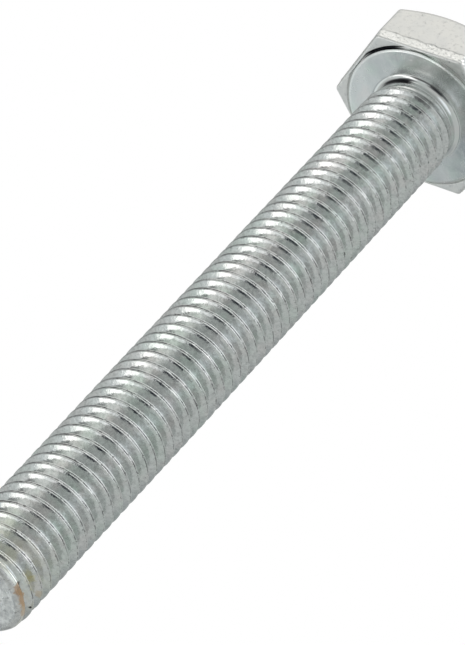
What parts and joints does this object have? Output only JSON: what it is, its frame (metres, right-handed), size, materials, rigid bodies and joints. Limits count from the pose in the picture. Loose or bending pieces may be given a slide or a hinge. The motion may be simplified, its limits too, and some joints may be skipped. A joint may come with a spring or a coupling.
{
  "type": "hex bolt",
  "caption": "Fully threaded hexagon head bolt in bright zinc-plated steel, with an integral washer face under the head, a short plain neck and a chamfered point.",
  "frame": {"origin": "centre of the head's top face, on which the bolt stands", "axes": "+Z along the shank from the head to the point; +X towards a corner of the hexagon; +Y towards a wrench flat"},
  "size_m": [0.0192, 0.0168, 0.0865],
  "materials": {
    "zinc_head": "bright zinc plating over a cold-forged surface, satin to matt, fine mottling, a rough sheared band along the lower edge of the flats",
    "zinc_washer_face": "bright zinc plating, smooth, cool grey with faint turning marks",
    "zinc_neck": "bright zinc plating, smooth, darker in the fillet",
    "zinc_thread": "bright zinc plating on rolled flanks, glossy, faint green, pink and yellow tints, small nicks on the crests",
    "zinc_point": "bright zinc plating with yellow-olive staining, brown specks and small nicks"
  },
  "bodies": {
    "root": {"hex_head": "zinc_head", "washer_face": "zinc_washer_face", "shank_neck": "zinc_neck", "threaded_shank": "zinc_thread", "chamfered_point": "zinc_point"}
  },
  "joints": []
}
